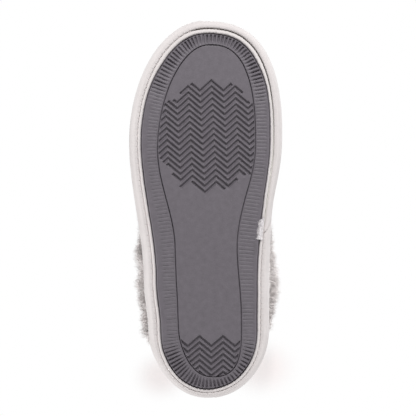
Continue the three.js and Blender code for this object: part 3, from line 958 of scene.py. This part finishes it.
def upper_point(angle, v):
    """The upper's outer face: straight up inside the band, then along a cubic curve from the sole's
    edge to the opening's edge."""
    angle, v = np.broadcast_arrays(np.asarray(angle, float), np.asarray(v, float))
    share = angle / TURN + 0.12 * np.sin(angle)
    foot = OUTLINE.point(share, UPPER_REACH, WALL_TOP)
    out = np.concatenate([OUTLINE.normal(share), np.zeros((*share.shape, 1))], -1)
    top = edge_point(angle)
    toe = (np.maximum(0, np.cos(angle)) ** 2)[..., None]
    height = (top - foot)[..., 2:]
    up = np.array([0.0, 0.0, 1.0])
    first = foot + 0.07 * height * out + up * height * (0.34 + 0.14 * toe)
    second = top + 0.42 * (foot - top) + 0.1 * height * (1 - toe) * out
    second = second * [1, 1, 0] + up * (top[..., 2:] - height * (0.34 - 0.1 * toe))
    w = np.clip((v - WALL_SHARE) / (1 - WALL_SHARE), 0, None)[..., None]
    curve = (1 - w) ** 3 * foot + 3 * w * (1 - w) ** 2 * first
    curve = curve + 3 * w * w * (1 - w) * second + w**3 * top
    drop = np.clip(1 - v / WALL_SHARE, 0, 1)[..., None] * (WALL_TOP - BOARD_Z)
    return curve - up * drop


def upper_frame(angle, v):
    """The outer face's point, its outward normal and the direction up the face."""
    step = 1e-3
    around = upper_point(angle + step, v) - upper_point(angle - step, v)
    up = upper_point(angle, v + step) - upper_point(angle, v - step)
    return upper_point(angle, v), unit(np.cross(around, up)), unit(up)


def upper_panel(name, angles, v_span, grid, lift, thick, seed, relief):
    """A panel of the upper: a closed sheet whose outer face lies lift above the upper's face. Broad
    creases and a rolled edge shape it. angles and v_span are where it starts and ends round the
    upper and up it, and grid is its rows and columns."""
    angle = np.linspace(*angles, grid[1])[None, :]
    v = np.linspace(*v_span, grid[0])[:, None]
    p, n, _ = upper_frame(np.broadcast_to(angle, grid), np.broadcast_to(v, grid))
    run = angle * UPPER_ROUND + 0 * v
    rise = v * UPPER_RISE + 0 * angle
    crease = relief * ripples(run, rise, seed, waves=18, finest=0.5, coarsest=0.04)
    side = np.minimum(angle - angles[0], angles[1] - angle) * 55
    roll = 1 - smooth(0, 1.6, side + 0 * v)
    outer = p + n * (lift + crease - 0.55 * roll)[..., None]
    inner = p + n * (lift + np.minimum(crease, 0) * 0.5 - thick)[..., None]
    points, faces = shell(outer, inner)
    return make_piece(name, points, faces, suede_material())


def build_upper():
    """The vamp, the two quarters that lap over it and meet at the heel, and the heel stay."""
    v_span, half_seam = (0.06, 1.0), 0.004
    vamp = upper_panel(
        "vamp_shell", (-SEAM_ANGLE, SEAM_ANGLE), v_span, (120, 220),
        lift=0.35, thick=1.4, seed=41, relief=0.55,
    )
    settle(vamp, "suede", "vamp")
    for side, angles, seed in (
        ("medial", (SEAM_ANGLE - SEAM_LAP, np.pi - half_seam), 42),
        ("lateral", (np.pi + half_seam, TURN - SEAM_ANGLE + SEAM_LAP), 43),
    ):
        panel = upper_panel(
            f"quarter_shell_{side}", angles, v_span, (100, 220),
            lift=1.05, thick=1.6, seed=seed, relief=0.5,
        )
        settle(panel, "suede", f"quarter_{side}")
    stay = upper_panel(
        "heel_stay_strip", (np.pi - STAY_ANGLE, np.pi + STAY_ANGLE), (0.13, 0.66), (60, 40),
        lift=2.15, thick=1.0, seed=44, relief=0.12,
    )
    settle(stay, "suede", "heel_stay")


def panel_stitches(angles, v, lift):
    """The points and faces of a row of stitches on the upper, between two angles and two shares up
    it."""
    b = bpy.context.scene.slipper_band
    t = np.linspace(0, 1, 400)
    p, n, _ = upper_frame(np.interp(t, [0, 1], angles), np.interp(t, [0, 1], v))
    p = p + n * lift
    steps = np.linalg.norm(np.diff(p, axis=0), axis=1)
    walked = np.concatenate([[0], np.cumsum(steps)])
    count = int(walked[-1] / b.stitch_pitch)
    centre = (np.arange(count) + 0.5) * walked[-1] / count
    half = 0.32 * b.stitch_pitch

    def at(distance, table):
        return np.stack([np.interp(distance, walked, table[:, k]) for k in range(3)], -1)

    up = unit(at(centre, n))
    starts, ends = at(centre - half, p), at(centre + half, p)
    return capsules(starts, ends, up * STITCH_RISE, b.stitch_thick / 2)


def joined(parts):
    """Several meshes' points and faces as one."""
    points, faces, first = [], [], 0
    for p, f in parts:
        points.append(p)
        faces.append(f + first)
        first += len(p)
    return np.concatenate(points), np.concatenate(faces)


def build_upper_stitches():
    """Two rows beside each side seam and one along each edge of the heel stay."""
    rows = []
    for sign in (1, -1):
        for back in (0.035, 0.075):
            a = sign * (SEAM_ANGLE - SEAM_LAP + back)
            rows.append(panel_stitches((a, a), (0.14, 0.72), 0.95))
    for a in (np.pi - STAY_STITCHES, np.pi + STAY_STITCHES):
        rows.append(panel_stitches((a, a), (0.15, 0.64), 2.1))
    points, faces = joined(rows)
    settle(make_piece("upper_stitches", points, faces, thread_material()), "thread")


# ---------- Linings ----------


def build_linings():
    """The linings line the upper's inner face with short pile, lumpy like fleece."""
    columns, rows, thick, gap = 240, 110, 2.0, 0.004
    for name, angles, node in (
        ("lining_vamp", (-SEAM_ANGLE, SEAM_ANGLE), "vamp_lining"),
        ("lining_medial", (SEAM_ANGLE + gap, np.pi), "quarter_lining_medial"),
        ("lining_lateral", (np.pi + gap, TURN - SEAM_ANGLE - gap), "quarter_lining_lateral"),
    ):
        angle = np.broadcast_to(np.linspace(*angles, columns)[None, :], (rows, columns))
        v = np.broadcast_to(np.linspace(0.02, 1.0, rows)[:, None], (rows, columns))
        p, n, _ = upper_frame(angle, v)
        lumps = ripples(
            angle * UPPER_ROUND, v * UPPER_RISE, 51, waves=30, finest=3.0, coarsest=0.4
        )
        face = p - n * (UPPER_THICK + 0.4 * lumps)[..., None]
        back = p - n * (UPPER_THICK - thick)
        points, faces = shell(back, face)
        settle(make_piece(name, points, faces, plush_material()), "plush", node)


def build_sock():
    """The sock is a pad of short pile on the footbed, pressed in a little under the heel and the
    ball of the foot and rounded off at its edge."""
    columns, rows = 130, 300
    rim = OUTLINE.point(np.linspace(0, 1, 4001), -1.6, 0)
    y = np.linspace(rim[:, 1].min() + 0.05, rim[:, 1].max() - 0.05, rows)
    left, right = sides_of(rim, y)
    x = left + (right - left) * np.linspace(0, 1, columns)
    yy = np.broadcast_to(y[:, None], x.shape)
    margin = np.minimum(x - left, right - x)
    margin = np.minimum(margin, np.minimum(yy - y[0], y[-1] - yy))
    heel = 1.0 * bump_at(yy, 95, 40) * bump_at(x, 1, 24)
    ball = 0.6 * bump_at(yy, -55, 30) * bump_at(x, 1, 30)
    lumps = 0.35 * ripples(x, yy, 52, waves=30, finest=3.0, coarsest=0.4)
    z = SOCK_TOP - 0.3 - (heel + ball) + lumps - 1.6 * (1 - smooth(0, 4, margin))
    top = np.stack([x, yy, z], -1)
    under = np.stack([x, yy, np.full_like(x, SOCK_BASE)], -1)
    points, faces = shell(top, under)
    piece = make_piece("sock_pad", points, faces, plush_material())
    sock = settle(piece, "plush", "sock_lining")


# ---------- Cuff ----------


def down_the_face(angle, distance):
    """The share up the face that lies a distance below the edge, from a table of lengths along each
    line."""
    shares = np.linspace(1, WALL_SHARE, 60)
    line = upper_point(angle[:, None], shares[None, :])
    steps = np.linalg.norm(np.diff(line, axis=1), axis=-1)
    walked = np.concatenate([np.zeros((len(angle), 1)), np.cumsum(steps, axis=1)], 1)
    k = np.clip((walked < distance[:, None]).sum(1) - 1, 0, len(shares) - 2)
    rows = np.arange(len(angle))
    part = (distance - walked[rows, k]) / np.maximum(steps[rows, k], 1e-6)
    return shares[k] + (shares[k + 1] - shares[k]) * np.clip(part, 0, 1)


def cuff_surface(angle, across, out):
    """A point that stands out from the middle of the upper's thickness, its normal and the way up
    the face there. across runs from 0 at the cuff's outer hem, up the outer face, round a half
    circle over the folded edge and down inside, to 1 at its inner hem."""
    c = bpy.context.scene.slipper_cuff
    half = UPPER_THICK / 2
    radius = half + out
    fold = np.pi * (half + 2)
    total = c.fall + fold + c.tuck
    walked = across * total
    outside = walked < c.fall
    inside = walked > c.fall + fold
    below = np.where(outside, c.fall - walked, 0)
    v = down_the_face(angle, below)
    p, n, up = upper_frame(angle, v)
    turn = np.clip((walked - c.fall) / fold, 0, 1) * np.pi
    normal = np.cos(turn)[:, None] * n + np.sin(turn)[:, None] * up
    centre = p - half * n
    sunk = np.where(inside, walked - c.fall - fold, 0)
    point = centre + normal * np.asarray(radius)[..., None] - up * sunk[:, None]
    return point, unit(normal), up


def build_cuff_core():
    """A lumpy roll under the pile, closed over its back, so that no light shows between the
    strands. It is thinner where the pile lies flat."""
    columns, rows = 360, 40
    angle = np.repeat(np.arange(columns)[None, :] / columns * TURN, rows, 0).ravel()
    across = np.repeat(np.linspace(0, 1, rows)[:, None], columns, 1).ravel()
    lumps = ripples(angle * 50, across * 50, 61, waves=24, finest=1.6, coarsest=0.15)
    base, _, _ = cuff_surface(angle, across, np.full(len(angle), 1.6))
    flat = stand_at(base[:, 0], base[:, 1])
    swell = np.sin(np.pi * np.clip(across, 0.02, 0.98)) ** 0.5
    thick = 1.3 + (1.1 + 3.2 * swell + 1.0 * lumps) * flat
    face, _, _ = cuff_surface(angle, across, thick)
    back, _, _ = cuff_surface(angle, across, 1.2)
    face, back = face.reshape(rows, columns, 3), back.reshape(rows, columns, 3)
    points = np.concatenate([face, back[::-1]])
    faces = grid_faces(2 * rows, columns, wrap_rows=True, wrap_columns=True)
    uv = np.tile([0.35, 0.12], (2 * rows * columns, 1))
    piece = make_piece("cuff_core", points, faces, fur_material(), uv=uv)
    return settle(piece, "fur", "cuff_fur")


def stand_at(x, y):
    """How far the pile stands off at a place: pressed flat along both sides, but for the middle of
    the inner one."""
    outer = 0.76 + 0.1 * smooth(70, 40, y)
    inner = 0.3 + 0.52 * smooth(18, 52, y) * (1 - smooth(60, 80, y))
    beside = smooth(20, 34, np.abs(x))
    front = 0.62 + 0.38 * smooth(4, 38, y)
    return front + (np.where(x > 0, inner, outer) - front) * beside


def build_cuff_pile(name, from_angle, to_angle, seed):
    """Locks of fur. A lock's strands start round its middle and lean towards its tip, more so the
    further along they are. Each strand is a thin three-sided spike that leaves the base along its
    normal and bends down under its own weight. The way it bends and its length are its lock's,
    with a little of its own."""
    c = bpy.context.scene.slipper_cuff
    rng = np.random.default_rng(seed)
    count, lock_count = c.strands, 300
    lock_angle = rng.uniform(from_angle, to_angle, lock_count)
    lock_across = rng.uniform(0.0, 1.0, lock_count) ** 0.9
    lock_out = np.full(lock_count, 1.6)
    lock_root, lock_normal, lock_up = cuff_surface(lock_angle, lock_across, lock_out)
    lock_length = c.pile * rng.uniform(0.72, 1.15, lock_count)
    lock_length *= 1 - 0.55 * smooth(0.66, 0.85, lock_across)
    flat = stand_at(lock_root[:, 0], lock_root[:, 1])
    lock_length *= 0.5 + 0.5 * flat
    sideways = unit(np.cross(lock_normal, lock_up))
    down = np.array([0.0, 0.0, -1.0])
    lean = sideways * rng.normal(0, 0.42, lock_count)[:, None]
    lean = lean - lock_up * (0.65 - 0.4 * flat)[:, None]
    lean = lean + lock_normal * rng.normal(0, 0.15, lock_count)[:, None]
    lock_way = unit(lock_normal * flat[:, None] + lean)

    which = rng.integers(0, lock_count, count)
    offset = rng.normal(0, 1, (count, 2)) * [0.045, 0.055]
    angle = lock_angle[which] + offset[:, 0]
    across = np.clip(lock_across[which] + offset[:, 1], 0, 1)
    root, normal, _ = cuff_surface(angle, across, np.full(count, 1.4))
    length = lock_length[which] * rng.uniform(0.78, 1.08, count)
    way = unit(normal * flat[which, None] + lean[which] + rng.normal(0, 0.13, (count, 3)))
    sides, rings = 3, 4
    t = np.linspace(0, 1, rings)[None, :, None]
    droop = rng.uniform(0.3, 0.62, count)[:, None, None]
    length = length[:, None, None]
    path = root[:, None] + way[:, None] * length * t * (1 - 0.18 * t * t)
    path = path + down * droop * length * t**2.2
    middle = lock_root[which][:, None] + lock_way[which][:, None] * length * t
    middle = middle + down * 0.45 * length * t**2.2
    clump = 0.62 * t**1.5
    path = path * (1 - clump) + middle * clump
    path[..., 2] = np.maximum(path[..., 2], PILE_LOWEST)

    along = unit(np.gradient(path, axis=1))
    any_way = unit(rng.normal(size=(count, 1, 3)))
    side = unit(np.cross(along, np.broadcast_to(any_way, along.shape)))
    other = np.cross(along, side)
    girth = rng.uniform(0.16, 0.24, count)[:, None] * np.array([1.0, 0.95, 0.7])
    turn = np.arange(sides) * TURN / sides
    spokes = side[:, :-1, None] * np.cos(turn)[:, None]
    spokes = spokes + other[:, :-1, None] * np.sin(turn)[:, None]
    body = path[:, :-1, None] + spokes * girth[:, :, None, None]
    tip = sides * (rings - 1)
    points = np.concatenate([body.reshape(count, tip, 3), path[:, -1:]], 1)
    spike = []
    for ring in range(rings - 2):
        for i in range(sides):
            a, b = sides * ring + i, sides * ring + (i + 1) % sides
            spike += [[a, b, b + sides], [a, b + sides, a + sides]]
    spike += [[6, 7, tip], [7, 8, tip], [8, 6, tip], [0, 2, 1]]
    first = np.arange(count) * (tip + 1)
    faces = (np.array(spike)[None] + first[:, None, None]).reshape(-1, 3)
    lock_tone = rng.uniform(0, 1, lock_count)
    tone = 0.6 * lock_tone[which] + 0.4 * rng.uniform(0, 1, count)
    uv = np.zeros((count, tip + 1, 2))
    uv[..., 0] = np.clip(tone, 0, 1)[:, None]
    uv[..., 1] = [*np.repeat([0.0, 0.33, 0.67], sides), 1.0]
    piece = make_piece(name, points, faces, fur_material(), uv=uv)
    return settle(piece, "fur", "cuff_fur")


# ---------- Hidden layers ----------


def build_hidden_layers():
    """Foam, boards and backing keep the frame's shapes and get finishes of their own."""
    foam = base_material(
        "open-cell foam", (0.82, 0.8, 0.75), mottle=(200, 0.12), grain=(1800, 0.3),
        bump=(0.8, 0.0004), Roughness=0.95,
    )
    board = base_material(
        "fibre board", (0.42, 0.3, 0.18), mottle=(90, 0.2), grain=(1200, 0.35),
        bump=(0.5, 0.0003), Roughness=0.85,
    )
    felt = base_material(
        "stiff felt", (0.66, 0.6, 0.49), mottle=(150, 0.15), grain=(1600, 0.3),
        bump=(0.5, 0.0003), Roughness=0.9,
    )
    knit = base_material(
        "knitted backing", (0.68, 0.64, 0.62), mottle=(200, 0.1), grain=(1500, 0.3),
        bump=(0.7, 0.0004), Roughness=0.95,
    )
    finishes = {
        "midsole_foam": foam,
        "footbed_foam": foam,
        "vamp_foam": foam,
        "quarter_foam_medial": foam,
        "quarter_foam_lateral": foam,
        "insole_board": board,
        "heel_counter": felt,
        "cuff_backing": knit,
    }
    for node, material in finishes.items():
        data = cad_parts[node].data
        data.materials.clear()
        data.materials.append(material)


# ---------- Stage ----------


def soft_spot(tree, x, y, spot):
    """1 in the middle of an ellipse, 0 at its edge and a smooth step between. A spot is its centre,
    its two radii and the share of the radius where the step starts."""
    centre_x, centre_y, radius_x, radius_y, plateau = spot

    def squared(value, centre, radius):
        off = math_node(tree, "DIVIDE", math_node(tree, "SUBTRACT", value, centre), radius)
        return math_node(tree, "POWER", off, 2.0)

    x2, y2 = squared(x, centre_x, radius_x), squared(y, centre_y, radius_y)
    far = math_node(tree, "SQRT", math_node(tree, "ADD", x2, y2))
    return spread(tree, far, plateau, 1.0, 1.0, 0.0, steps="SMOOTHERSTEP")


def stage_material(name, tone, spots=(), strength=1.0):
    """Card seen from its front only. It lets light through, so it never shades the slipper. With
    spots, only those soft ellipses of it are seen; given a dim tone, they are a painted shadow."""
    material, tree, bsdf = new_material(name)
    bsdf.inputs["Base Color"].default_value = (*tone, 1)
    bsdf.inputs["Roughness"].default_value = 1.0
    bsdf.inputs["Specular IOR Level"].default_value = 0.0
    clear = tree.nodes.new("ShaderNodeBsdfTransparent")
    geometry = tree.nodes.new("ShaderNodeNewGeometry")
    path = tree.nodes.new("ShaderNodeLightPath")
    front = math_node(tree, "SUBTRACT", 1.0, geometry.outputs["Backfacing"])
    seen = math_node(tree, "MULTIPLY", front, path.outputs["Is Camera Ray"])
    if spots:
        place = tree.nodes.new("ShaderNodeTexCoord").outputs["Object"]
        parts = tree.nodes.new("ShaderNodeSeparateXYZ")
        tree.links.new(place, parts.inputs[0])
        x, y = parts.outputs["X"], parts.outputs["Y"]
        shown = soft_spot(tree, x, y, spots[0])
        for spot in spots[1:]:
            shown = math_node(tree, "MAXIMUM", shown, soft_spot(tree, x, y, spot))
        seen = math_node(tree, "MULTIPLY", seen, math_node(tree, "MULTIPLY", shown, strength))
    mix = tree.nodes.new("ShaderNodeMixShader")
    tree.links.new(seen, mix.inputs["Fac"])
    tree.links.new(clear.outputs[0], mix.inputs[1])
    tree.links.new(bsdf.outputs[0], mix.inputs[2])
    tree.links.new(mix.outputs[0], tree.nodes["Material Output"].inputs["Surface"])
    return material


def card(name, corners, material):
    """A flat sheet on the stage, whose front is the side its corners run round anticlockwise."""
    faces = np.array([[0, 1, 2, 3]])
    piece = make_piece(name, np.array(corners), faces, material, smooth_shade=False)
    return piece


def area_light(name, location, target, size, power):
    """A square lamp at a place in metres, turned towards another."""
    data = bpy.data.lights.new(name, "AREA")
    data.shape = "SQUARE"
    data.size = size
    data.energy = power
    light = bpy.data.objects.new(name, data)
    light.location = location
    light.visible_camera = False
    way = Vector(target) - Vector(location)
    light.rotation_mode = "QUATERNION"
    light.rotation_quaternion = way.to_track_quat("-Z", "Y")
    bpy.context.scene.collection.objects.link(light)
    return light


def build_world():
    """Even white light from all round, and a full white behind the slipper."""
    world = bpy.data.worlds.new("Studio")
    world.use_nodes = True
    tree = world.node_tree
    light, seen = tree.nodes["Background"], tree.nodes.new("ShaderNodeBackground")
    for node, strength in ((light, 0.42), (seen, 1.0)):
        node.inputs["Color"].default_value = (1, 1, 1, 1)
        node.inputs["Strength"].default_value = strength
    path = tree.nodes.new("ShaderNodeLightPath")
    mix = tree.nodes.new("ShaderNodeMixShader")
    tree.links.new(path.outputs["Is Camera Ray"], mix.inputs["Fac"])
    tree.links.new(light.outputs[0], mix.inputs[1])
    tree.links.new(seen.outputs[0], mix.inputs[2])
    tree.links.new(mix.outputs[0], tree.nodes["World Output"].inputs["Surface"])
    bpy.context.scene.world = world


def build_camera():
    """A long lens straight under the sole, with the toe up in the picture."""
    sensor, distance, width = 36.0, 1.7, 0.2974
    aim_x, aim_y, aim_z = 0.00114, -0.00162, 0.004
    data = bpy.data.cameras.new("Camera")
    data.sensor_width = sensor
    data.lens = sensor * distance / width
    camera = bpy.data.objects.new("Camera", data)
    camera.matrix_world = Matrix(
        ((1, 0, 0, aim_x), (0, -1, 0, aim_y), (0, 0, -1, aim_z - distance), (0, 0, 0, 1))
    )
    bpy.context.scene.collection.objects.link(camera)
    bpy.context.scene.camera = camera


# ---------- Operators ----------


class SLIPPER_OT_stage(Operator):
    """Make the camera, the lights, the pale floor and the card with a painted shadow behind the
    heel
    """

    bl_idname = "slipper.stage"
    bl_label = "Stage"

    def execute(self, context):
        context.scene.view_settings.view_transform = "Standard"
        build_world()
        build_camera()
        floor = stage_material("pale floor", (0.93, 0.93, 0.93), ((0, 0, 1.3, 1.3, 0.35),))
        far = 1500
        card("floor", [(-far, -far, 0), (far, -far, 0), (far, far, 0), (-far, far, 0)], floor)
        # Painted shadow: a dim pinkish card, shown only in two soft spots beside the heel, stands
        # for the slipper's shadow there; the lamps light it as well.
        spots = ((-0.034, 0.124, 0.027, 0.024, 0), (0.041, 0.118, 0.035, 0.028, 0))
        painted_shadow_card = stage_material("heel card", (0.76, 0.57, 0.555), spots, 0.32)
        side, near, back, z = 160, 60, 260, 86
        corners = [(-side, near, z), (-side, back, z), (side, back, z), (side, near, z)]
        card("painted_shadow_card", corners, painted_shadow_card)
        for name, location, target, size, power in (
            ("key below", (0.12, -0.94, -0.72), (0, 0, 0.0), 0.12, 11.3),
            ("fill left", (-1.0, 0.2, 0.02), (0, 0.03, 0.03), 0.4, 6.0),
            ("fill right", (1.0, 0.3, 0.02), (0, 0.03, 0.03), 0.4, 4.2),
            ("fill heel", (-0.1, 1.0, -0.4), (0, 0, 0.02), 0.5, 4.7),
            ("key above", (0.7, -0.9, 1.3), (0, 0, 0.05), 0.7, 9),
        ):
            area_light(name, location, target, size, power)
        return {"FINISHED"}


class SLIPPER_OT_tread(Operator):
    """Make the moulded tread: its ribbed border and its field with zigzag channels"""

    bl_idname = "slipper.tread"
    bl_label = "Tread"

    def execute(self, context):
        build_tread_border()
        build_tread_field()
        return {"FINISHED"}


class SLIPPER_OT_band(Operator):
    """Make the bottom's turned edge, the padded band, its frayed end and their stitches"""

    bl_idname = "slipper.band"
    bl_label = "Bottom and band"

    def execute(self, context):
        build_cover()
        build_band()
        build_sole_stitches()
        build_top_stitches()
        build_band_end()
        return {"FINISHED"}


class SLIPPER_OT_upper(Operator):
    """Make the vamp, the quarters, the heel stay and their stitches"""

    bl_idname = "slipper.upper"
    bl_label = "Upper"

    def execute(self, context):
        build_upper()
        build_upper_stitches()
        return {"FINISHED"}


class SLIPPER_OT_linings(Operator):
    """Make the plush linings and the sock, and finish the hidden layers"""

    bl_idname = "slipper.linings"
    bl_label = "Linings"

    def execute(self, context):
        build_linings()
        build_sock()
        build_hidden_layers()
        return {"FINISHED"}


class SLIPPER_OT_cuff(Operator):
    """Make the faux-fur cuff"""

    bl_idname = "slipper.cuff"
    bl_label = "Fur cuff"

    def execute(self, context):
        build_cuff_core()
        quarter, lap = TURN / 4, 0.02
        for k in range(4):
            start, end = k * quarter - lap, (k + 1) * quarter + lap
            build_cuff_pile(f"cuff_pile_{k + 1}", start, end, 70 + k)
        return {"FINISHED"}


OPERATORS = (
    SLIPPER_OT_stage,
    SLIPPER_OT_tread,
    SLIPPER_OT_band,
    SLIPPER_OT_upper,
    SLIPPER_OT_linings,
    SLIPPER_OT_cuff,
)


class SLIPPER_PT_panel(Panel):
    """Lists the slipper's sizes and the operators that build it"""

    bl_idname = "SLIPPER_PT_panel"
    bl_label = "House slipper"
    bl_space_type = "VIEW_3D"
    bl_region_type = "UI"
    bl_category = "Slipper"

    def draw(self, context):
        for name, group in SETTINGS.items():
            box = self.layout.box()
            settings = getattr(context.scene, name)
            for label in group.__annotations__:
                box.prop(settings, label)
        for operator in OPERATORS:
            self.layout.operator(operator.bl_idname)


CLASSES = (*SETTINGS.values(), *OPERATORS, SLIPPER_PT_panel)


def register():
    for cls in CLASSES:
        bpy.utils.register_class(cls)
    for name, group in SETTINGS.items():
        setattr(bpy.types.Scene, name, PointerProperty(type=group))


def unregister():
    for name in SETTINGS:
        delattr(bpy.types.Scene, name)
    for cls in reversed(CLASSES):
        bpy.utils.unregister_class(cls)


def main():
    register()
    for operator in OPERATORS:
        group, name = operator.bl_idname.split(".")
        getattr(getattr(bpy.ops, group), name)()


if __name__ == "__main__":
    main()
